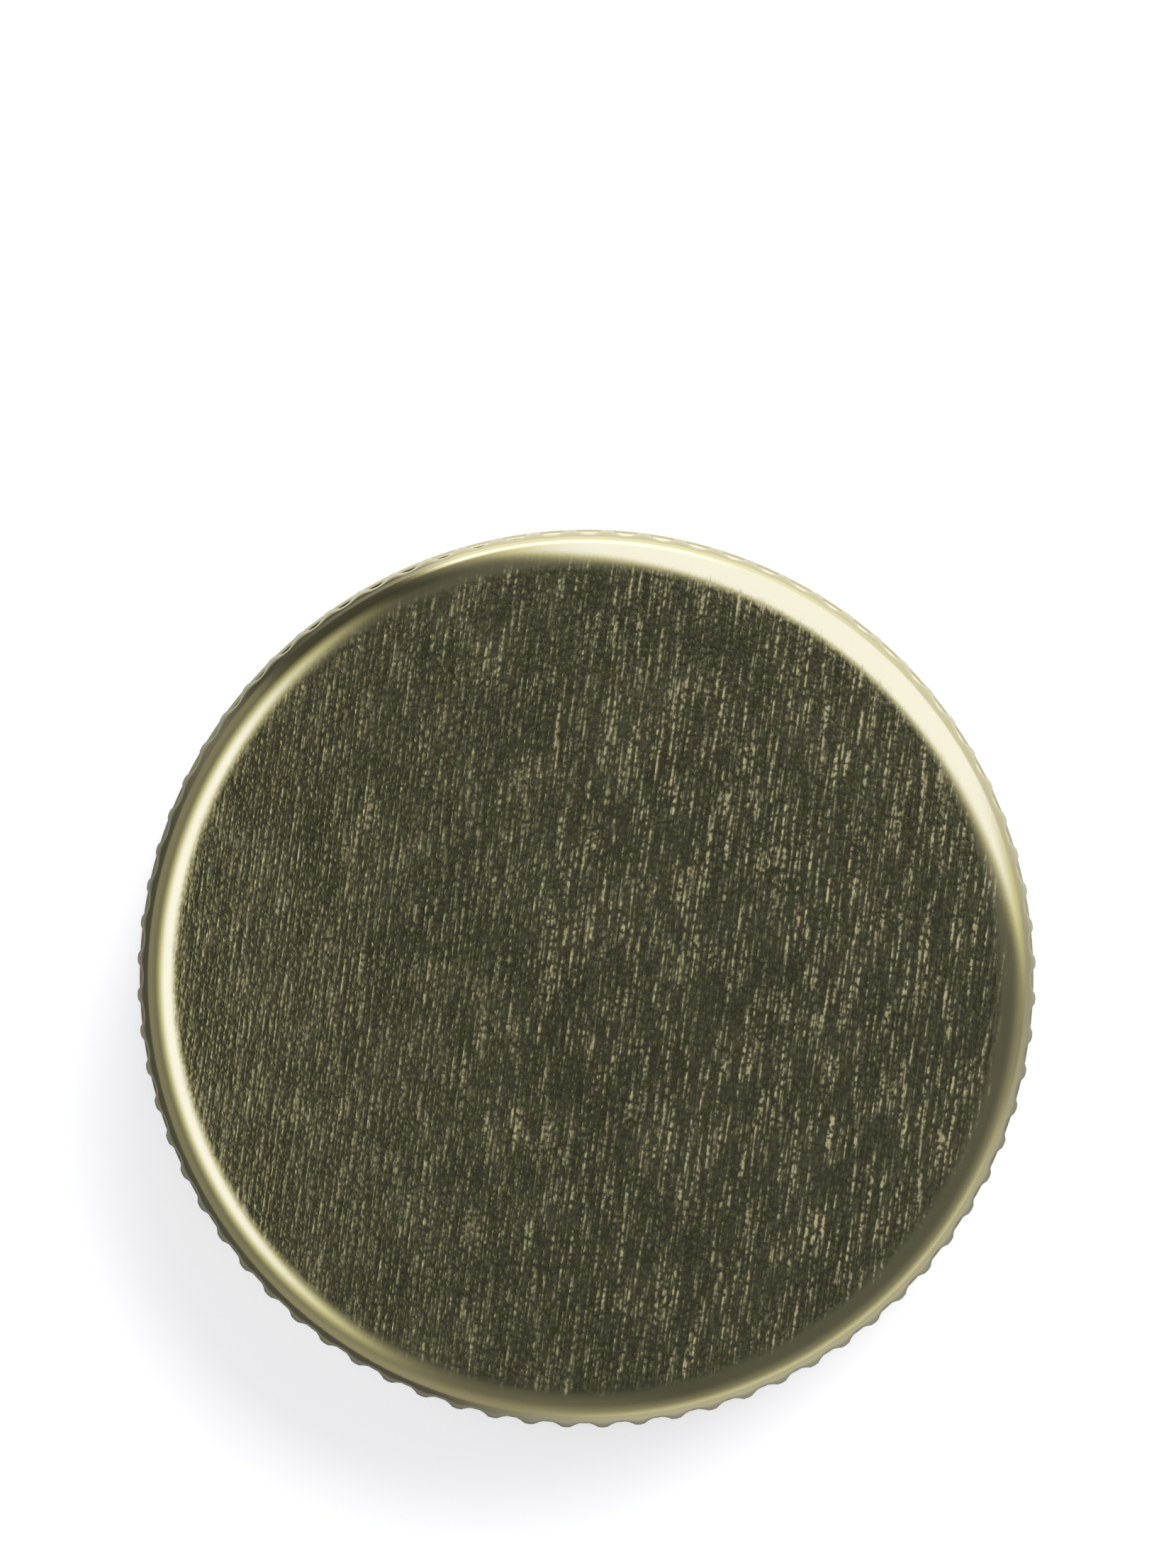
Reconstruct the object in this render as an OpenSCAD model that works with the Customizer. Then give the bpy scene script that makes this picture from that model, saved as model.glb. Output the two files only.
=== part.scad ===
// Screw cap for a bottle neck: a shell drawn and rolled from one piece of lacquered sheet,
// with a fluted grip band, a rolled single-start thread and an outward curl at the rim,
// and a soft disc inside that seals on the neck.
// It stands on its rim with the open side down: the rim's plane is z = 0 and the axis is Z.

/* [Shell] */
// Diameter over the tips of the grip ribs
cap_d = 38.7; // [36:0.1:48]
// Height from the rim to the top face
cap_h = 11.4; // [11:0.1:15]
// Thickness of the lacquered sheet
sheet_t = 0.25; // [0.2:0.01:0.28]
// Outer radius of the rounded top edge
corner_r = 1.8; // [1.4:0.1:2.2]

/* [Grip band] */
// Number of grip ribs
rib_count = 76; // [64:1:84]
// Height of a rib over the valleys beside it
rib_h = 0.29; // [0.24:0.01:0.34]
// Radius of a rib's rounded tip, outside
rib_tip_r = 0.52; // [0.4:0.01:0.6]

/* [Thread] */
// Rise of the thread in one turn
thread_pitch = 4.233; // [3.6:0.001:4.3]
// Number of turns, with the run-outs at both ends
thread_turns = 1.02; // [0.75:0.01:1.1]
// Depth of the rolled groove
thread_h = 0.95; // [0.7:0.01:1.05]
// Width of the rolled groove
thread_w = 2.2; // [2.1:0.05:2.5]
// Angle over which the groove rises to its full depth
runout_deg = 30; // [20:1:50]
// Plain wall left between the groove and what lies above and below it
plain_h = 0.1; // [0.05:0.01:0.2]

/* [Rim] */
// Diameter of the curl that the sheet is rolled into
curl_d = 0.85; // [0.75:0.01:1.05]
// Gap between the curled edge and the wall
curl_gap = 0.06; // [0.03:0.01:0.1]
// How much wider the plain mouth is than the threaded wall, on the radius
mouth_flare = 0.2; // [0.1:0.01:0.3]
// Height over the rim at which the plain mouth ends
mouth_z = 1.4; // [1.2:0.05:1.5]

/* [Liner] */
// Thickness of the sealing disc
liner_t = 1.0; // [0.6:0.1:1.3]
// Clearance round the sealing disc
liner_gap = 0.1; // [0.05:0.01:0.2]

/* [Hidden] */

$fn = 192;
// Length by which a cutter passes the face that it cuts
over = 1;
// Smallest step between two surfaces that would otherwise touch without crossing
step = 0.01;

// Radii of the grip band and the walls
rib_r = cap_d / 2;
valley_r = rib_r - rib_h;
wall_r = valley_r - step;
mouth_r = wall_r + mouth_flare;
mouth_top = mouth_z + mouth_flare;
flat_r = rib_r - corner_r;
corner_z = cap_h - corner_r;
ceiling_z = cap_h - sheet_t;

// Heights of the middle of the groove where it starts and ends, of the band's lower edge,
// and of the place where the ribs have their full height
runout_rise = thread_pitch * runout_deg / 360;
thread_start_z = mouth_top + plain_h + thread_w / 2 - runout_rise;
thread_end_z = thread_start_z + thread_pitch * thread_turns;
band_z = thread_end_z - runout_rise + thread_w / 2 + plain_h;
full_band_z = band_z + rib_r + step - wall_r;

// The groove's sweep: how far its ends stand clear of the wall, the share of its width that is
// left where it runs out, the flats across it, and the angle between two sections
groove_lip = 0.05;
runout_width = 0.4;
groove_flats = 8;
section_deg = 6;

// A rib's tip and the flute beside it are two arcs. They cross at a slight angle, so that the
// wave is round at its crests and in its valleys. flute_lap is by how much the circles overlap.
flute_lap = 0.05;
half_pitch = 180 / rib_count;
rib_axis_r = rib_r - rib_tip_r;
flute_r = touching_sum() - rib_tip_r + flute_lap;
flute_axis_r = valley_r + flute_r;

// Sum of the two radii at which the circles would just touch
function touching_sum() =
    let(
        side = (rib_r + valley_r) / 2 * sin(half_pitch),
        rise = rib_h - (rib_r + valley_r) / 2 * (1 - cos(half_pitch))
    )
    (side * side + rise * rise) / (2 * rise);

// Radius, from the cap's axis, at which a rib's circle and a flute's circle cross
function crossing_r(tip_r, hollow_r) =
    let(
        flute_axis = flute_axis_r * [cos(half_pitch), sin(half_pitch)],
        rib_axis = [rib_axis_r, 0],
        gap = norm(flute_axis - rib_axis),
        along = (gap * gap + tip_r * tip_r - hollow_r * hollow_r) / (2 * gap)
    )
    norm(rib_axis + (flute_axis - rib_axis) * along / gap);

// Outline of the grip band, moved inwards by the inset
module grip_outline(inset) {
    tip_r = rib_tip_r - inset;
    hollow_r = flute_r + inset;
    difference() {
        union() {
            circle(r = crossing_r(tip_r, hollow_r));
            for (i = [0 : rib_count - 1])
                rotate(2 * i * half_pitch)
                    translate([rib_axis_r, 0])
                        circle(r = tip_r);
        }
        for (i = [0 : rib_count - 1])
            rotate((2 * i + 1) * half_pitch)
                translate([flute_axis_r, 0])
                    circle(r = hollow_r);
    }
}

// Ring that leaves the grip band's ribs when it is cut away
module grip_cutter(inset) {
    translate([0, 0, band_z - over])
        linear_extrude(height = cap_h - band_z + 2 * over)
            difference() {
                circle(r = rib_r + over);
                grip_outline(inset);
            }
}

// The cup's section from its axis to the outer face, moved inwards by the inset. The mouth and
// the band meet the wall at 45 degrees, and their inner corners lie bend_shift along the wall
// from the outer ones, so that the sheet is as thick there as it is elsewhere.
module cup_section(inset, bottom_z) {
    band_r = rib_r + step - inset;
    bend_shift = inset * tan(45 / 2);
    polygon([
        [0, bottom_z],
        [mouth_r - inset, bottom_z],
        [mouth_r - inset, mouth_z - bend_shift],
        [wall_r - inset, mouth_top - bend_shift],
        [wall_r - inset, band_z + bend_shift],
        [band_r, full_band_z + bend_shift],
        [band_r, corner_z],
        [0, corner_z],
    ]);
    translate([flat_r + step, corner_z])
        circle(r = corner_r - inset);
    square([flat_r + step, cap_h - inset]);
}

// Share of its full depth that the groove has at an angle from its start
function ease(x) = (1 - cos(180 * min(1, max(0, x)))) / 2;
function runout(a) = ease(a / runout_deg) * ease((360 * thread_turns - a) / runout_deg);

// Points of the rolled groove's section, as radius and height, at an angle from its start.
// It is one wave of a cosine across, and the last two points lie behind it.
function groove_section(a, inset) =
    let(
        depth = (thread_h + groove_lip) * runout(a),
        width = thread_w * (runout_width + (1 - runout_width) * runout(a)),
        z = thread_start_z + thread_pitch * a / 360
    )
    concat(
        [for (i = [0 : groove_flats])
            let(
                s = i / groove_flats - 0.5,
                slope = depth * PI * sin(360 * s) / width
            )
            [wall_r + groove_lip - depth * (1 + cos(360 * s)) / 2, z + width * s]
                - inset * [1, -slope] / norm([1, slope])],
        [for (side = [1, -1]) [wall_r - inset + over, z + side * width / 2]]
    );

// Sweep of the groove's section up its helix
module groove_sweep(inset) {
    turn = 360 * thread_turns;
    steps = ceil(turn / section_deg);
    sections = [for (i = [0 : steps]) groove_section(turn * i / steps, inset)];
    n = len(sections[0]);
    points = [
        for (i = [0 : steps], p = sections[i])
            [p[0] * cos(turn * i / steps), p[0] * sin(turn * i / steps), p[1]]
    ];
    sides = [
        for (i = [0 : steps - 1], j = [0 : n - 1])
            let(a = i * n + j, b = i * n + (j + 1) % n)
            each [[a, a + n, b + n], [a, b + n, b]]
    ];
    start_cap = [for (j = [-1 : n - 2]) (j + n) % n];
    end_cap = [for (j = [n - 1 : -1 : 0]) steps * n + j];
    polyhedron(points = points, faces = concat([start_cap], sides, [end_cap]));
}

// The cup as a solid out to its sheet's outer face, or to its inner face with an inset
module cup_form(inset, bottom_z) {
    difference() {
        rotate_extrude()
            cup_section(inset, bottom_z);
        grip_cutter(inset);
        groove_sweep(inset);
    }
}

// The rim's sheet, rolled outwards from the mouth until its edge nearly meets the wall. What is
// cut away of the ring lies between that edge and the mouth's wall.
module curl() {
    curl_r = curl_d / 2;
    curl_axis_r = mouth_r - sheet_t + curl_r;
    edge_deg = acos((mouth_r + curl_gap - curl_axis_r) / curl_r);
    edge_side = curl_d * [cos(edge_deg), sin(edge_deg)];
    rotate_extrude()
        translate([curl_axis_r, curl_r])
            difference() {
                circle(r = curl_r);
                circle(r = curl_r - sheet_t);
                polygon([[0, 0], edge_side, [-curl_d, curl_d], [-curl_d, 0]]);
            }
}

module cap_shell() {
    color([0.62, 0.58, 0.36])
        union() {
            difference() {
                cup_form(0, curl_d / 2);
                cup_form(sheet_t, curl_d / 2 - over);
            }
            curl();
        }
}

// The sealing disc, pressed up into the shell's rounded corner
module liner() {
    liner_r = valley_r - sheet_t - liner_gap;
    color([0.94, 0.94, 0.91])
        rotate_extrude()
            intersection() {
                translate([0, ceiling_z - liner_t])
                    square([liner_r, liner_t]);
                union() {
                    square([flat_r - liner_gap, cap_h]);
                    square([liner_r, corner_z]);
                    translate([flat_r - liner_gap, corner_z])
                        circle(r = corner_r - sheet_t);
                }
            }
}

cap_shell();
liner();
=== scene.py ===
from math import acos, asin, ceil, cos, pi, radians, sin, tan

import bpy
import numpy as np
from bpy.props import FloatProperty, FloatVectorProperty, IntProperty, PointerProperty
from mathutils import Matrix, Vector


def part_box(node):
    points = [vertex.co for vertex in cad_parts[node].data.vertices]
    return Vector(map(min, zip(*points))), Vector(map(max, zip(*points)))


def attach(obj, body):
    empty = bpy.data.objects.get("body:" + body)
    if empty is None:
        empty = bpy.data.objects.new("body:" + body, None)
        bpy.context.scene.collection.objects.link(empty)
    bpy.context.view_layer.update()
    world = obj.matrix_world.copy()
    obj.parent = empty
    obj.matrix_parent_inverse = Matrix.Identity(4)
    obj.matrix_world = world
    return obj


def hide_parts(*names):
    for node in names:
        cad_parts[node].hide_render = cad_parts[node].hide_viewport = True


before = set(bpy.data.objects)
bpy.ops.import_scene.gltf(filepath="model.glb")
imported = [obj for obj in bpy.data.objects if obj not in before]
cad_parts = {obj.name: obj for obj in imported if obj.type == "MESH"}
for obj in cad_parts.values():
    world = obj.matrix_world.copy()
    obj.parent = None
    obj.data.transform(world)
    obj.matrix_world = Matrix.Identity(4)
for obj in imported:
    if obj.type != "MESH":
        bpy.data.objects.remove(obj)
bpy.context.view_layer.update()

bl_info = {
    "name": "Rolled screw cap",
    "version": (1, 0, 0),
    "blender": (4, 5, 0),
    "location": "View3D > Sidebar > Screw cap",
    "description": "Builds a gold lacquered screw cap, its sealing disc and a small studio round it",
    "category": "Add Mesh",
}

MM = 0.001
SHELL_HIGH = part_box("cap_shell")[1]
LINER_LOW, LINER_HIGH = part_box("liner")


# ---------------------------------------------------------------- sizes and colours


class CapShellSettings(bpy.types.PropertyGroup):
    """Sizes of the drawn and rolled shell."""

    height: FloatProperty(
        name="Height",
        description="From the rim to the flat top",
        default=SHELL_HIGH.z,
        unit="LENGTH",
    )
    rib_radius: FloatProperty(
        name="Rib radius",
        description="From the axis to the tips of the grip ribs",
        default=19.35 * MM,
        unit="LENGTH",
    )
    rib_count: IntProperty(name="Ribs", description="Number of grip ribs", default=76, min=40, max=120)
    rib_height: FloatProperty(
        name="Rib height",
        description="Height of a rib over the valleys beside it",
        default=0.29 * MM,
        unit="LENGTH",
    )
    rib_tip: FloatProperty(
        name="Rib tip",
        description="Radius of a rib's rounded tip",
        default=0.52 * MM,
        unit="LENGTH",
    )
    corner: FloatProperty(
        name="Corner radius",
        description="Outer radius of the rounded top edge",
        default=1.8 * MM,
        unit="LENGTH",
    )
    sheet: FloatProperty(
        name="Sheet", description="Thickness of the sheet", default=0.25 * MM, unit="LENGTH"
    )
    band_low: FloatProperty(
        name="Band's lower edge",
        description="Height of the lower edge of the grip band",
        default=7.612 * MM,
        unit="LENGTH",
    )
    mouth_flare: FloatProperty(
        name="Mouth flare",
        description="How much wider the mouth is than the wall, on the radius",
        default=0.2 * MM,
        unit="LENGTH",
    )
    mouth_top: FloatProperty(
        name="Mouth height",
        description="Height at which the mouth's flare meets the wall",
        default=1.6 * MM,
        unit="LENGTH",
    )
    curl: FloatProperty(
        name="Curl", description="Diameter of the curled rim", default=0.85 * MM, unit="LENGTH"
    )
    pitch: FloatProperty(
        name="Thread pitch",
        description="Rise of the thread in one turn",
        default=4.233 * MM,
        unit="LENGTH",
    )
    turns: FloatProperty(
        name="Thread turns", description="Turns of the thread with its run-outs", default=1.02
    )
    thread_start: FloatProperty(
        name="Thread start",
        description="Height of the middle of the groove where it starts",
        default=2.447 * MM,
        unit="LENGTH",
    )
    thread_depth: FloatProperty(
        name="Thread depth", description="Depth of the rolled groove", default=0.95 * MM, unit="LENGTH"
    )
    thread_width: FloatProperty(
        name="Thread width", description="Width of the rolled groove", default=2.2 * MM, unit="LENGTH"
    )
    runout: FloatProperty(
        name="Run-out",
        description="Angle over which the groove rises to its full depth",
        default=radians(30),
        subtype="ANGLE",
    )
    gold: FloatVectorProperty(
        name="Lacquer",
        description="Colour of the lacquered metal",
        subtype="COLOR",
        size=3,
        default=(0.77, 0.71, 0.39),
        min=0,
        max=1,
    )
    grain_turn: FloatProperty(
        name="Grain direction",
        description="Angle of the rolling grain from the Y axis",
        default=radians(10),
        subtype="ANGLE",
    )
    grain_depth: FloatProperty(
        name="Grain depth",
        description="Depth of the rolling grain",
        default=0.020 * MM,
        unit="LENGTH",
        precision=5,
    )


class CapLinerSettings(bpy.types.PropertyGroup):
    """Sizes of the soft sealing disc."""

    radius: FloatProperty(
        name="Radius", description="Radius of the disc", default=LINER_HIGH.x, unit="LENGTH"
    )
    low: FloatProperty(
        name="Underside", description="Height of the sealing face", default=LINER_LOW.z, unit="LENGTH"
    )
    high: FloatProperty(
        name="Top",
        description="Height of the face against the shell",
        default=LINER_HIGH.z,
        unit="LENGTH",
    )
    clearance: FloatProperty(
        name="Clearance",
        description="How far the disc's rounded edge lies inside the shell's corner",
        default=0.1 * MM,
        unit="LENGTH",
    )
    corner: FloatProperty(
        name="Corner radius",
        description="Radius of the edge that lies in the shell's corner",
        default=1.55 * MM,
        unit="LENGTH",
    )
    foam: FloatVectorProperty(
        name="Foam",
        description="Colour of the foamed disc",
        subtype="COLOR",
        size=3,
        default=(0.86, 0.86, 0.83),
        min=0,
        max=1,
    )


class CapStageSettings(bpy.types.PropertyGroup):
    """The floor, the lamps and the camera."""

    camera_height: FloatProperty(
        name="Camera height",
        description="Height of the camera over the rim's plane",
        default=295.6 * MM,
        unit="LENGTH",
    )
    lens: FloatProperty(name="Lens", description="Focal length in millimetres", default=152.58)
    turn: FloatProperty(
        name="Turn",
        description="Turn of the camera about the cap's axis",
        default=radians(-2.1),
        subtype="ANGLE",
    )
    floor: FloatVectorProperty(
        name="Floor",
        description="Colour of the floor",
        subtype="COLOR",
        size=3,
        default=(0.88, 0.88, 0.88),
        min=0,
        max=1,
    )


# ---------------------------------------------------------------- modelling helpers


def new_mesh(name):
    """Starts an empty mesh object from a primitive and leaves one vertex in edit mode."""
    if bpy.context.object and bpy.context.object.mode != "OBJECT":
        bpy.ops.object.mode_set(mode="OBJECT")
    bpy.ops.object.select_all(action="DESELECT")
    bpy.ops.mesh.primitive_plane_add(size=MM, location=(0, 0, 0))
    piece = bpy.context.object
    piece.name = name
    piece.data.name = name
    bpy.ops.object.mode_set(mode="EDIT")
    bpy.ops.mesh.select_all(action="SELECT")
    bpy.ops.mesh.merge(type="CENTER")
    return piece


class Profile:
    """Draws a section in the XZ plane by extruding and spinning one vertex in edit mode."""

    def __init__(self, x, z):
        bpy.ops.transform.translate(value=(x, 0, z))
        self.x, self.z = x, z

    def line(self, x, z, steps=1):
        """Extrudes the end point to a place, in equal steps."""
        step = ((x - self.x) / steps, 0, (z - self.z) / steps)
        for _ in range(steps):
            bpy.ops.mesh.extrude_vertices_move(TRANSFORM_OT_translate={"value": step})
        self.x, self.z = x, z

    def arc(self, centre_x, centre_z, turn, steps):
        """Turns the end point round a centre. A positive turn is from +X towards +Z."""
        bpy.ops.mesh.spin(
            steps=steps, angle=turn, center=(centre_x, 0, centre_z), axis=(0, 1, 0)
        )
        dx, dz = self.x - centre_x, self.z - centre_z
        self.x = centre_x + dx * cos(turn) - dz * sin(turn)
        self.z = centre_z + dx * sin(turn) + dz * cos(turn)


def turn_on_axis(piece, steps):
    """Spins the drawn section once round the axis, closes it and turns its faces outwards."""
    bpy.ops.mesh.select_all(action="SELECT")
    bpy.ops.mesh.spin(steps=steps, angle=2 * pi, center=(0, 0, 0), axis=(0, 0, 1), use_auto_merge=True)
    bpy.ops.mesh.select_all(action="SELECT")
    bpy.ops.mesh.remove_doubles(threshold=0.001 * MM)
    bpy.ops.mesh.normals_make_consistent(inside=False)
    bpy.ops.object.mode_set(mode="OBJECT")


def points_and_normals(piece):
    """A piece's vertices and their normals, as two arrays with a row each."""
    count = len(piece.data.vertices)
    points, normals = np.empty(3 * count), np.empty(3 * count)
    piece.data.vertices.foreach_get("co", points)
    piece.data.vertices.foreach_get("normal", normals)
    return points.reshape(-1, 3), normals.reshape(-1, 3)


def press_in(piece, name, depths):
    """Moves each vertex against its normal by its depth, with a weighted Displace modifier."""
    deepest = float(depths.max())
    group = piece.vertex_groups.new(name=name)
    for index in np.flatnonzero(depths > 0):
        group.add([int(index)], float(depths[index] / deepest), "REPLACE")
    press = piece.modifiers.new(name, "DISPLACE")
    press.vertex_group = name
    press.mid_level = 0
    press.strength = -deepest
    bpy.ops.object.modifier_apply(modifier=name)
    piece.vertex_groups.remove(piece.vertex_groups[name])


# ---------------------------------------------------------------- shading helpers


class Shader:
    """Makes and links the nodes of one material or of the world."""

    def __init__(self, owner):
        self.owner = owner
        owner.use_nodes = True
        self.nodes = owner.node_tree.nodes
        self.links = owner.node_tree.links
        self.nodes.clear()

    def add(self, kind, inputs=None, **facts):
        """Adds a node, sets its facts, and sets or links its inputs."""
        node = self.nodes.new("ShaderNode" + kind)
        for name, value in facts.items():
            setattr(node, name, value)
        for name, value in (inputs or {}).items():
            self.set(node.inputs[name], value)
        return node

    def set(self, socket, value):
        """Links a socket to another node's output, or gives it a value."""
        if isinstance(value, bpy.types.NodeSocket):
            self.links.new(value, socket)
        else:
            socket.default_value = value

    def math(self, operation, *values):
        node = self.add("Math", operation=operation)
        for socket, value in zip(node.inputs, values):
            self.set(socket, value)
        return node.outputs[0]

    def spread(self, value, low, high, to_low=0.0, to_high=1.0, smooth=True):
        """Spreads what lies between two limits over two others."""
        node = self.add(
            "MapRange",
            {"Value": value, "From Min": low, "From Max": high, "To Min": to_low, "To Max": to_high},
            interpolation_type="SMOOTHSTEP" if smooth else "LINEAR",
        )
        return node.outputs["Result"]

    def mix(self, share, a, b):
        node = self.add("Mix", data_type="RGBA")
        for socket, value in ((node.inputs[0], share), (node.inputs[6], a), (node.inputs[7], b)):
            self.set(socket, value)
        return node.outputs[2]

    def noise(self, place, scale, turn=0.0, detail=2.0, roughness=0.5, offset=(0, 0, 0)):
        """Noise stretched by a scale along each axis, after a turn about Z."""
        first = self.add("Mapping", {"Vector": place, "Rotation": (0, 0, turn)})
        second = self.add("Mapping", {"Vector": first.outputs[0], "Location": offset, "Scale": scale})
        node = self.add(
            "TexNoise",
            {"Vector": second.outputs[0], "Scale": 1.0, "Detail": detail, "Roughness": roughness},
        )
        return node.outputs["Fac"]

    def times(self, *values):
        total = values[0]
        for value in values[1:]:
            total = self.math("MULTIPLY", total, value)
        return total

    def plus(self, *values):
        total = values[0]
        for value in values[1:]:
            total = self.math("ADD", total, value)
        return total

    def tinted(self, colour, *strengths):
        """A colour scaled by each of some strengths."""
        for strength in strengths:
            node = self.add("VectorMath", {"Scale": strength}, operation="SCALE")
            self.set(node.inputs[0], colour)
            colour = node.outputs[0]
        return colour

    def together(self, *colours):
        """The sum of some colours."""
        total = colours[0]
        for colour in colours[1:]:
            node = self.add("VectorMath", operation="ADD")
            self.set(node.inputs[0], total)
            self.set(node.inputs[1], colour)
            total = node.outputs[0]
        return total

    def from_axis(self, split):
        """Distance of a place, or length of a ray, from the Z axis."""
        x, y = split.outputs["X"], split.outputs["Y"]
        return self.math("SQRT", self.plus(self.times(x, x), self.times(y, y)))

    def facing(self, split, azimuth):
        """Cosine of the angle, seen from above, between an azimuth and a place or a ray."""
        a = radians(azimuth)
        along = self.plus(self.times(split.outputs["X"], cos(a)), self.times(split.outputs["Y"], sin(a)))
        return self.math("DIVIDE", along, self.math("MAXIMUM", self.from_axis(split), 1e-4))

    def within(self, split, azimuth, full, none):
        """1 within one angle of an azimuth, and 0 beyond another."""
        return self.spread(self.facing(split, azimuth), cos(radians(none)), cos(radians(full)))

    def blend(self, share, first, second):
        """Mixes two surfaces."""
        node = self.add("MixShader", {"Fac": share})
        self.links.new(first, node.inputs[1])
        self.links.new(second, node.inputs[2])
        return node.outputs[0]

    def finish(self, surface):
        kind = "OutputWorld" if isinstance(self.owner, bpy.types.World) else "OutputMaterial"
        self.add(kind, {"Surface": surface})
        return self.owner


def rgba(colour):
    return (*colour, 1.0)


def gold_lacquer(settings):
    """Gold lacquered tinplate: rolling grain on the flat top, with painted shade and glints in its
    colour, smooth where the sheet is drawn.
    """
    s = Shader(bpy.data.materials.new("gold_lacquered_tinplate"))
    place = s.add("TexCoord").outputs["Object"]
    split = s.add("SeparateXYZ", {"Vector": place})
    # Share of the scuffs, of the grain's relief and of its painted shade and glints that is left where
    # the sheet is drawn
    flat = s.spread(s.from_axis(split), 18.2 * MM, 17.5 * MM, 0.12, 1.0)
    rolled = s.spread(s.from_axis(split), 17.8 * MM, 17.1 * MM, 0.05, 1.0)

    turn = settings.grain_turn
    beads = s.noise(place, (5600, 4800, 4800), turn, detail=1.5, roughness=0.55)
    streaks = s.noise(place, (8400, 460, 460), turn, detail=1.0, roughness=0.5, offset=(3.1, 7.7, 0))
    cloud = s.noise(place, (420, 300, 300), turn, detail=2.0, offset=(9.4, 1.3, 0))
    grain = s.plus(s.times(beads, 0.6), s.times(streaks, 0.4))
    bump = s.add(
        "Bump", {"Strength": 1.0, "Distance": settings.grain_depth, "Height": s.times(grain, rolled)}
    )

    # The grain's crests are scuffed and scatter light. Painted reflection in the colour: darker along
    # the grain's low parts as painted shade, lighter on its scuffed crests as painted glints
    shade = s.spread(grain, 0.38, 0.60, smooth=False)
    lines = s.spread(s.plus(streaks, s.times(cloud, 0.04)), 0.53, 0.90, smooth=False)
    # Painted highlight: the scuffs, and with them the painted glints, grow towards +X, the key lamp's
    # side
    towards_lit_side = s.spread(split.outputs["X"], -14 * MM, 14 * MM, 0.7, 2.0)
    scuff_and_glint = s.times(lines, s.spread(beads, 0.38, 0.68, smooth=False), towards_lit_side, flat)
    gold = settings.gold
    # Painted shade and painted glints: darker and brighter copies of the lacquer's colour, laid along
    # the grain
    painted_shade_gold = tuple(c * share for c, share in zip(gold, (0.55, 0.575, 0.58)))
    painted_glint_gold = tuple(c * share for c, share in zip(gold, (1.24, 1.19, 1.08)))
    colour = s.mix(s.spread(s.times(shade, flat), 0.0, 1.0, smooth=False), rgba(painted_shade_gold), rgba(gold))
    colour = s.mix(s.spread(scuff_and_glint, 0.05, 0.5, smooth=False), colour, rgba(painted_glint_gold))
    colour = s.mix(s.spread(flat, 0.6, 1.0), rgba(gold), colour)
    body = s.add(
        "BsdfPrincipled",
        {
            "Base Color": colour,
            "Roughness": s.plus(s.spread(cloud, 0.3, 0.7, 0.12, 0.15), s.times(scuff_and_glint, 0.38)),
            "Metallic": 1.0,
            "Normal": bump.outputs[0],
            "Coat Weight": 0.5,
            "Coat Roughness": 0.12,
            "Coat IOR": 1.5,
        },
    )
    return s.finish(body.outputs[0])


def foam_disc(settings):
    """White foamed plastic with small closed cells and a faint ring where a neck has pressed."""
    s = Shader(bpy.data.materials.new("white_foam"))
    place = s.add("TexCoord").outputs["Object"]
    cells = s.add("TexVoronoi", {"Vector": place, "Scale": 5200.0}, feature="SMOOTH_F1")
    cloud = s.noise(place, (900, 900, 900), detail=3.0)
    colour = s.mix(cloud, rgba(tuple(c * 0.95 for c in settings.foam)), rgba(settings.foam))
    bump = s.add("Bump", {"Strength": 0.5, "Distance": 0.03 * MM, "Height": cells.outputs["Distance"]})
    body = s.add(
        "BsdfPrincipled",
        {
            "Base Color": colour,
            "Roughness": s.spread(cloud, 0.3, 0.7, 0.58, 0.72),
            "Normal": bump.outputs[0],
            "Subsurface Weight": 0.15,
            "Subsurface Scale": 0.3 * MM,
        },
    )
    return s.finish(body.outputs[0])


def studio_floor(settings):
    """Pale floor that looks white where no shadow lies. In reflections its colour carries painted light
    and shade. It is clear from below.
    """
    s = Shader(bpy.data.materials.new("studio_floor"))
    place = s.add("TexCoord").outputs["Object"]
    cloud = s.noise(place, (60, 60, 60), detail=4.0)
    colour = s.mix(cloud, rgba(tuple(c * 0.98 for c in settings.floor)), rgba(settings.floor))
    split = s.add("SeparateXYZ", {"Vector": place})
    # Painted light and shade: how pale the floor is in a reflection, paler on the key lamp's side and
    # darker on the other sides, by side and by distance. A camera sees it evenly.
    far = s.spread(s.from_axis(split), 28 * MM, 46 * MM)
    gap = s.times(s.within(split, 126, 8, 22), far)
    key_side = s.times(s.within(split, 68, 20, 93), s.math("SUBTRACT", 1.0, gap))
    low_side = s.within(split, 305, 25, 60)
    bright_side = s.times(
        s.within(split, 86, 15, 50), s.spread(s.from_axis(split), 48 * MM, 66 * MM)
    )
    pale = s.plus(
        s.times(key_side, s.spread(far, 0.0, 1.0, 0.78, 0.98, smooth=False)),
        s.times(bright_side, 0.35),
        s.times(low_side, s.spread(far, 0.0, 1.0, 0.06, 0.52, smooth=False)),
        s.spread(far, 0.0, 1.0, 0.34, 0.10, smooth=False),
    )
    path = s.add("LightPath").outputs
    # Painted light and shade in the floor's colour for every ray but the camera's
    floor_painted_light = s.mix(path["Is Camera Ray"], s.tinted(colour, pale), colour)
    matt = s.add("BsdfDiffuse", {"Color": floor_painted_light, "Roughness": 0.5}).outputs[0]
    shine = s.times(path["Is Camera Ray"], s.spread(s.from_axis(split), 0.1, 0.6, 0.45, 1.0))
    glow = s.add("Emission", {"Color": (1, 1, 1, 1), "Strength": shine}).outputs[0]
    front = s.add("AddShader")
    s.links.new(matt, front.inputs[0])
    s.links.new(glow, front.inputs[1])
    clear = s.add("BsdfTransparent").outputs[0]
    return s.finish(s.blend(s.add("NewGeometry").outputs["Backfacing"], front.outputs[0], clear))


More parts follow.
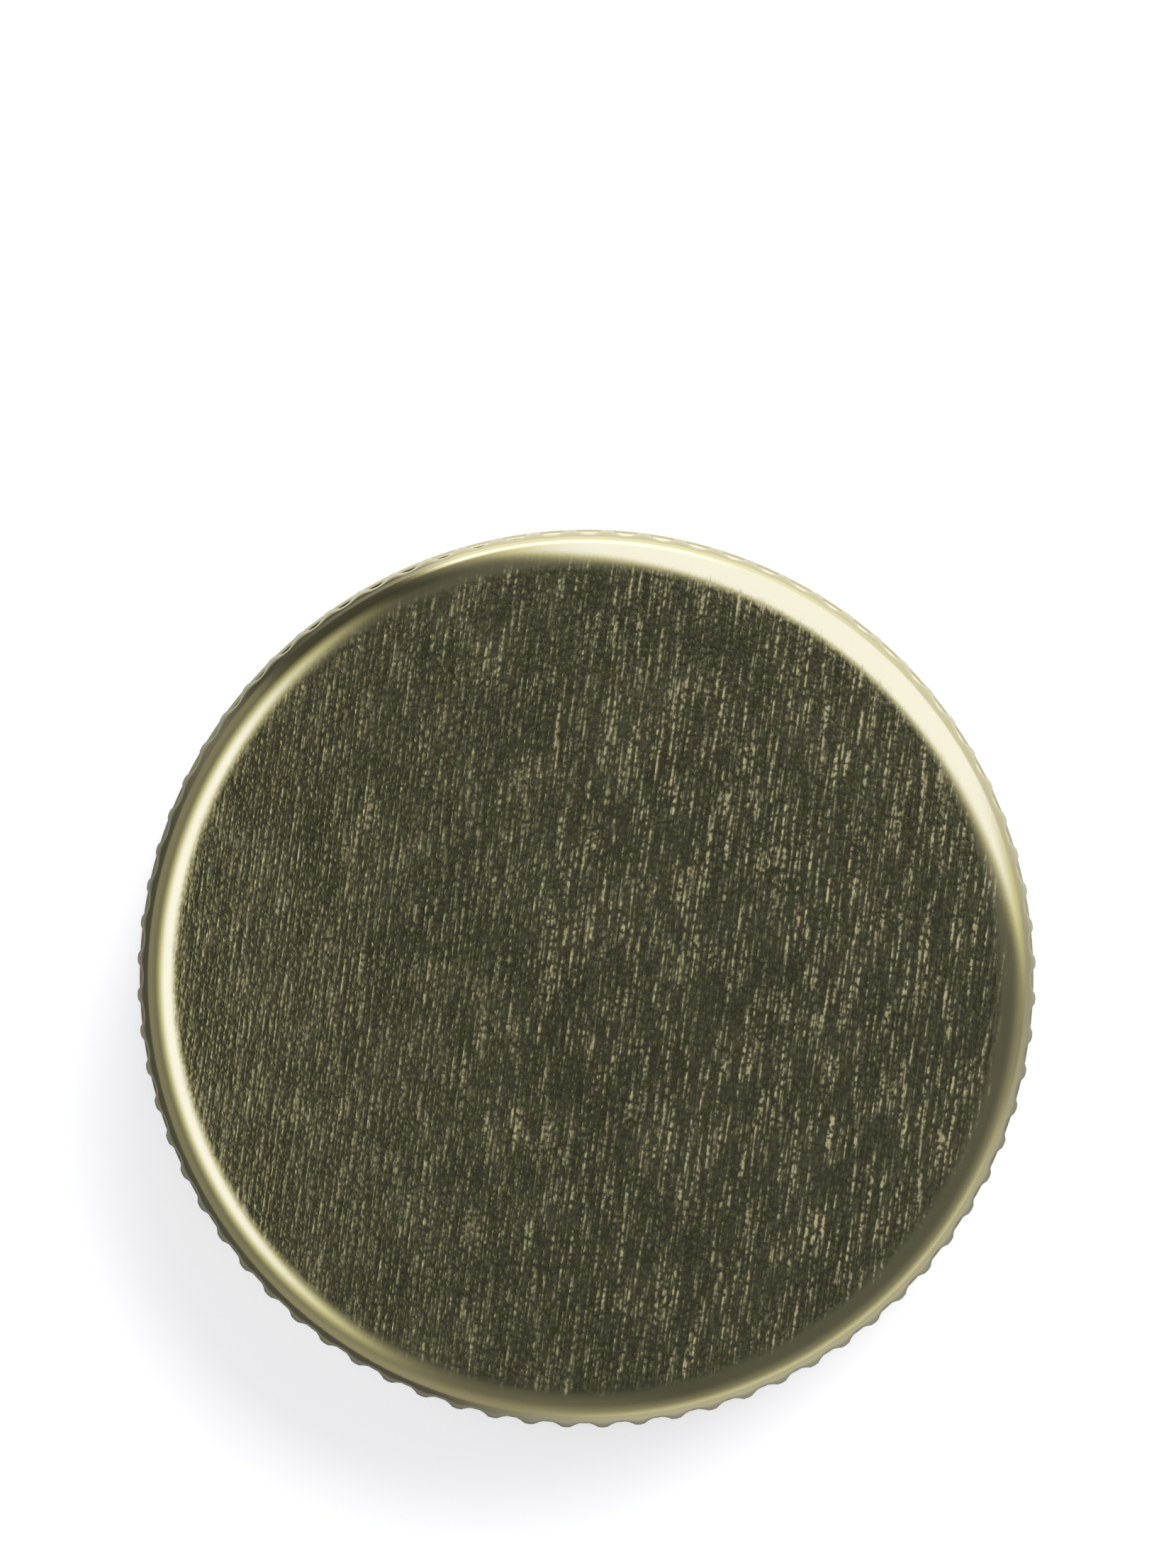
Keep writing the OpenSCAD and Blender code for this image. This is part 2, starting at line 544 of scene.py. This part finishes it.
def studio_sky(world):
    """A dim room with a broad key panel, a side strip and low pale walls. A camera sees it white."""
    s = Shader(world)
    ray = s.add("SeparateXYZ", {"Vector": s.add("TexCoord").outputs["Generated"]})
    zenith = s.math("ARCTAN2", s.from_axis(ray), ray.outputs["Z"])

    def rise(angle, low, high):
        return s.spread(angle, radians(low), radians(high))

    def panel(share, strength):
        """A lit panel, cool in its middle and warmer where it fades."""
        colour = s.mix(s.spread(share, 0.4, 1.0), (1, 0.98, 0.72, 1), (1, 1.045, 1.5, 1))
        return s.tinted(colour, share, strength)

    def near(azimuth, power):
        """Angle from the zenith, made smaller away from the azimuth so that an edge bows outwards."""
        edge = s.math("POWER", s.math("MAXIMUM", s.facing(ray, azimuth), 0.0), power)
        return s.math("ARCTAN2", s.times(s.from_axis(ray), edge), ray.outputs["Z"])

    # The key panel is dimmer where it is both low and off its middle
    beside = s.math("SUBTRACT", 1.0, s.within(ray, 62, 36, 52))
    low_fade = s.math("SUBTRACT", 1.0, s.times(beside, rise(zenith, 50, 92), 0.55))
    key = s.times(rise(near(52.5, 5.5), 4, 21), s.within(ray, 49, 38, 59), low_fade)
    strip = s.times(s.within(ray, 180, 30, 72), rise(near(180, 2), 3, 19), rise(zenith, 67, 33))
    low_wall = s.times(s.within(ray, 302, 12, 46), rise(zenith, 68, 92))
    side_wall = s.times(s.within(ray, 250, 12, 35), rise(zenith, 10, 45))
    bright_wall = s.times(s.within(ray, 90, 14, 23), rise(zenith, 75, 84))
    dark_card = s.times(s.within(ray, 122, 8, 17), rise(zenith, 36, 50))

    # The ceiling brightens away from the zenith and a little towards one side
    lean = s.times(s.facing(ray, 15), s.from_axis(ray))
    ceiling = s.times(
        s.spread(zenith, radians(3), radians(9), 0.045, 0.095),
        s.spread(lean, -0.06, 0.06, 0.84, 1.24),
    )
    walls = s.times(
        rise(zenith, 44, 80),
        s.math("SUBTRACT", 1.0, key),
        s.math("SUBTRACT", 1.0, s.times(dark_card, 0.8)),
    )
    studio = s.together(
        s.tinted((1, 1.03, 1.08), ceiling, s.math("SUBTRACT", 1.0, s.times(dark_card, 0.6))),
        s.tinted((1, 0.97, 0.85), walls, 0.18),
        s.tinted((1, 0.97, 0.85), low_wall, 0.5),
        s.tinted((1, 0.97, 0.85), side_wall, 0.08),
        panel(s.math("MAXIMUM", key, bright_wall), 1.08),
        panel(strip, 1.17),
        panel(bright_wall, 0.3),
    )
    # Below the horizon, where only a view from underneath looks, the room is plain and pale
    studio = s.mix(rise(zenith, 92, 98), studio, (0.95, 0.95, 0.95, 1))
    inside = s.add("Background", {"Color": studio, "Strength": 1.0}).outputs[0]
    white = s.add("Background", {"Color": (1, 1, 1, 1), "Strength": 1.0}).outputs[0]
    return s.finish(s.blend(s.add("LightPath").outputs["Is Camera Ray"], inside, white))


# ---------------------------------------------------------------- the shell


# Columns of vertices in one rib's pitch, and rows on the threaded wall
COLUMNS_PER_RIB = 8
WALL_ROWS = 32
# By how much the circles of a rib and of a flute overlap
FLUTE_LAP = 0.05 * MM
# Small step by which the band stands over the ribs' tips and the wall lies under their valleys
STEP = 0.01 * MM
# Gap between the curled edge and the mouth's wall
CURL_GAP = 0.06 * MM
# Length over which a flute's edge is rounded where it meets the corner
FLUTE_SOFTNESS = 0.09 * MM


def rib_outline(angle, shell):
    """Radius of the fluted outline at an angle: round rib tips and round flutes between them."""
    half = pi / shell.rib_count
    tip, top = shell.rib_tip, shell.rib_radius
    valley = top - shell.rib_height
    side = (top + valley) / 2 * sin(half)
    rise = shell.rib_height - (top + valley) / 2 * (1 - cos(half))
    hollow = (side**2 + rise**2) / (2 * rise) - tip + FLUTE_LAP
    tip_axis, hollow_axis = top - tip, valley + hollow
    to_rib = np.abs((angle + half) % (2 * half) - half)
    to_flute = half - to_rib
    with np.errstate(invalid="ignore"):
        rib = tip_axis * np.cos(to_rib) + np.sqrt(tip**2 - (tip_axis * np.sin(to_rib)) ** 2)
        flute = hollow_axis * np.cos(to_flute) - np.sqrt(
            hollow**2 - (hollow_axis * np.sin(to_flute)) ** 2
        )
    return np.fmin(np.where(np.isnan(rib), flute, rib), np.where(np.isnan(flute), np.inf, flute))


def smaller(a, b, soft):
    """The smaller of two lengths, rounded where they are nearly equal."""
    near = np.clip(1 - np.abs(a - b) / soft, 0, None)
    return np.minimum(a, b) - near**2 * soft / 4


def groove_depth(angle, height, shell):
    """Depth of the rolled thread at a place on the wall."""
    end = 2 * pi * shell.turns
    depth = np.zeros_like(angle)

    def ease(x):
        return (1 - np.cos(pi * np.clip(x, 0, 1))) / 2

    for turn in range(ceil(shell.turns)):
        along = angle % (2 * pi) + 2 * pi * turn
        share = ease(along / shell.runout) * ease((end - along) / shell.runout)
        width = shell.thread_width * (0.4 + 0.6 * share)
        middle = shell.thread_start + shell.pitch * along / (2 * pi)
        across = np.clip((height - middle) / width, -0.5, 0.5)
        here = shell.thread_depth * share * (1 + np.cos(2 * pi * across)) / 2
        depth = np.maximum(depth, np.where(along < end, here, 0))
    return depth


class OBJECT_OT_cap_shell(bpy.types.Operator):
    """Spins the shell's section, presses in the flutes and the thread and gives it its thickness"""

    bl_idname = "object.cap_shell"
    bl_label = "Cap shell"

    def execute(self, context):
        shell = context.scene.cap_shell
        wall = shell.rib_radius - shell.rib_height - STEP
        band = shell.rib_radius + STEP
        mouth = wall + shell.mouth_flare
        flat = shell.rib_radius - shell.corner
        corner_z = shell.height - shell.corner
        # Radii of the rounded bends towards and away from the axis, and how far each reaches
        inward, outward = 0.12 * MM, 0.32 * MM
        reach_in, reach_out = inward * tan(pi / 8), outward * tan(pi / 8)
        slant = cos(pi / 4)

        piece = new_mesh("shell")
        p = Profile(0, shell.height)
        p.line(flat * 0.5, shell.height)
        p.line(flat - 0.06 * MM, shell.height)
        p.line(flat + STEP, shell.height)
        p.arc(flat + STEP, corner_z, -radians(48), 7)
        p.arc(flat + STEP, corner_z, -radians(42), 11)
        full_band = shell.band_low + band - wall
        p.line(band, full_band + reach_out, 2)
        p.arc(band - outward, full_band + reach_out, -pi / 4, 3)
        p.line(wall + reach_in * slant, shell.band_low + reach_in * slant)
        p.arc(wall + inward, shell.band_low - reach_in, pi / 4, 2)
        p.line(wall, shell.mouth_top + reach_in, WALL_ROWS)
        p.arc(wall + inward, shell.mouth_top + reach_in, pi / 4, 2)
        mouth_z = shell.mouth_top - shell.mouth_flare
        p.line(mouth - reach_out * slant, mouth_z + reach_out * slant)
        p.arc(mouth - outward, mouth_z - reach_out, -pi / 4, 3)
        tube = shell.curl / 2
        p.line(mouth, tube)
        centre = mouth - shell.sheet + tube
        edge = acos((mouth + CURL_GAP - centre) / tube)
        p.arc(centre, tube, pi + edge, 12)
        turn_on_axis(piece, shell.rib_count * COLUMNS_PER_RIB)

        points, normals = points_and_normals(piece)
        if normals[np.argmax(points[:, 2])][2] < 0:
            raise RuntimeError("the shell's faces point inwards")
        radius = np.hypot(points[:, 0], points[:, 1])
        angle = np.arctan2(points[:, 1], points[:, 0])
        slope = np.maximum((normals[:, :2] * points[:, :2]).sum(1) / np.maximum(radius, 1e-9), 0.2)
        in_band = (points[:, 2] > shell.band_low + 0.02 * MM) & (radius > flat)
        pressed = smaller(radius, rib_outline(angle, shell), FLUTE_SOFTNESS)
        press_in(piece, "flutes", np.where(in_band, (radius - pressed) / slope, 0))
        on_wall = (np.abs(radius - wall) < 0.05 * MM) & (points[:, 2] < shell.band_low)
        press_in(piece, "thread", np.where(on_wall, groove_depth(angle, points[:, 2], shell), 0))

        wall_thickness = piece.modifiers.new("sheet", "SOLIDIFY")
        wall_thickness.thickness = shell.sheet
        wall_thickness.offset = -1
        bpy.ops.object.modifier_apply(modifier="sheet")
        bpy.ops.object.shade_smooth_by_angle(angle=radians(40))
        piece.data.materials.append(gold_lacquer(shell))
        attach(piece, "root")
        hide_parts("cap_shell")
        return {"FINISHED"}


# ---------------------------------------------------------------- the sealing disc


# Radii and depths, in millimetres, across the ring that a neck's rim has pressed into the disc
NECK_RING = ((18.35, 0), (18.2, 0.05), (17.95, 0.09), (16.75, 0.09), (16.5, 0.05), (16.35, 0))
DISC_STEPS = 320


class OBJECT_OT_cap_liner(bpy.types.Operator):
    """Spins the foamed sealing disc with the ring that a neck has pressed into it"""

    bl_idname = "object.cap_liner"
    bl_label = "Sealing disc"

    def execute(self, context):
        liner, shell = context.scene.cap_liner, context.scene.cap_shell
        corner_z = liner.high - liner.corner
        flat = shell.rib_radius - shell.corner - liner.clearance
        # The edge's arc ends at the sealing face, which may lie above the arc's lower end
        edge_turn = asin(min(1, max(0, (liner.low - corner_z) / liner.corner)))
        piece = new_mesh("sealing_disc")
        p = Profile(0, liner.high)
        p.line(flat * 0.5, liner.high)
        p.line(flat, liner.high)
        p.arc(flat, corner_z, -(pi / 2 - edge_turn), 8)
        p.line(p.x - 0.05 * MM, liner.low)
        for radius, depth in NECK_RING:
            p.line(radius * MM, liner.low + depth * MM)
        p.line(8 * MM, liner.low)
        p.line(0, liner.low)
        turn_on_axis(piece, DISC_STEPS)
        bpy.ops.object.shade_smooth_by_angle(angle=radians(40))
        piece.data.materials.append(foam_disc(liner))
        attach(piece, "root")
        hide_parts("liner")
        return {"FINISHED"}


# ---------------------------------------------------------------- the studio


def softbox(name, azimuth, zenith, distance, size, radiance, colour=(1, 1, 1)):
    """A soft lamp that faces the cap. Its azimuth is from +X, its zenith from straight up."""
    a, t = radians(azimuth), radians(zenith)
    place = Vector((sin(t) * cos(a), sin(t) * sin(a), cos(t))) * distance
    bpy.ops.object.light_add(type="AREA", location=place)
    lamp = bpy.context.object
    lamp.name = name
    lamp.rotation_mode = "QUATERNION"
    lamp.rotation_quaternion = place.to_track_quat("Z", "Y")
    lamp.data.shape = "RECTANGLE"
    lamp.data.size, lamp.data.size_y = size
    lamp.data.energy = radiance * pi * size[0] * size[1]
    lamp.data.color = colour
    lamp.visible_camera = False
    lamp.visible_glossy = False


class OBJECT_OT_cap_stage(bpy.types.Operator):
    """Lays the floor and sets the lamps, the world and the camera"""

    bl_idname = "object.cap_stage"
    bl_label = "Studio"

    def execute(self, context):
        stage = context.scene.cap_stage
        if bpy.context.object and bpy.context.object.mode != "OBJECT":
            bpy.ops.object.mode_set(mode="OBJECT")
        bpy.ops.object.select_all(action="DESELECT")
        self.lay_floor(stage)
        self.set_lamps()
        self.set_world(context)
        self.set_camera(context, stage)
        context.scene.view_settings.view_transform = "Standard"
        return {"FINISHED"}

    def lay_floor(self, stage):
        piece = new_mesh("studio_floor")
        # The floor's hole lies under the cap, so that the inside can be seen from below
        hole, edge = 19.3 * MM, 1600 * MM
        p = Profile(hole, 0)
        p.line(60 * MM, 0)
        p.line(edge, 0)
        turn_on_axis(piece, 96)
        points, normals = points_and_normals(piece)
        if normals[0][2] < 0:
            bpy.ops.object.mode_set(mode="EDIT")
            bpy.ops.mesh.select_all(action="SELECT")
            bpy.ops.mesh.flip_normals()
            bpy.ops.object.mode_set(mode="OBJECT")
        piece.data.materials.append(studio_floor(stage))

    def set_lamps(self):
        softbox("key", 52.5, 38, 0.9, (0.5, 0.5), 4.6, (1, 0.98, 0.88))
        softbox("fill", 250, 20, 0.9, (0.9, 0.9), 0.5)

    def set_world(self, context):
        context.scene.world = studio_sky(bpy.data.worlds.new("studio"))

    def set_camera(self, context, stage):
        aside, ahead = 0.06 * MM, 2.87 * MM
        place = (aside - ahead * sin(stage.turn), ahead * cos(stage.turn), stage.camera_height)
        bpy.ops.object.camera_add(location=place, rotation=(0, 0, stage.turn))
        camera = bpy.context.object
        camera.data.lens = stage.lens
        camera.data.sensor_width = 36
        camera.data.shift_y = 0.0814
        camera.data.clip_start, camera.data.clip_end = 0.01, 10
        context.scene.camera = camera


# ---------------------------------------------------------------- the add-on


class VIEW3D_PT_screw_cap(bpy.types.Panel):
    """Lists the cap's pieces and the studio"""

    bl_label = "Screw cap"
    bl_space_type = "VIEW_3D"
    bl_region_type = "UI"
    bl_category = "Screw cap"

    def draw(self, context):
        for operator, group in PIECES:
            box = self.layout.box()
            box.operator(operator)
            settings = getattr(context.scene, group)
            for name in settings.bl_rna.properties.keys():
                if name not in ("rna_type", "name"):
                    box.prop(settings, name)


PIECES = (
    ("object.cap_shell", "cap_shell"),
    ("object.cap_liner", "cap_liner"),
    ("object.cap_stage", "cap_stage"),
)
CLASSES = (
    CapShellSettings,
    CapLinerSettings,
    CapStageSettings,
    OBJECT_OT_cap_shell,
    OBJECT_OT_cap_liner,
    OBJECT_OT_cap_stage,
    VIEW3D_PT_screw_cap,
)


def register():
    for cls in CLASSES:
        bpy.utils.register_class(cls)
    bpy.types.Scene.cap_shell = PointerProperty(type=CapShellSettings)
    bpy.types.Scene.cap_liner = PointerProperty(type=CapLinerSettings)
    bpy.types.Scene.cap_stage = PointerProperty(type=CapStageSettings)


def unregister():
    for _, group in PIECES:
        delattr(bpy.types.Scene, group)
    for cls in reversed(CLASSES):
        bpy.utils.unregister_class(cls)


def main():
    register()
    bpy.ops.object.cap_shell()
    bpy.ops.object.cap_liner()
    bpy.ops.object.cap_stage()


if __name__ == "__main__":
    main()
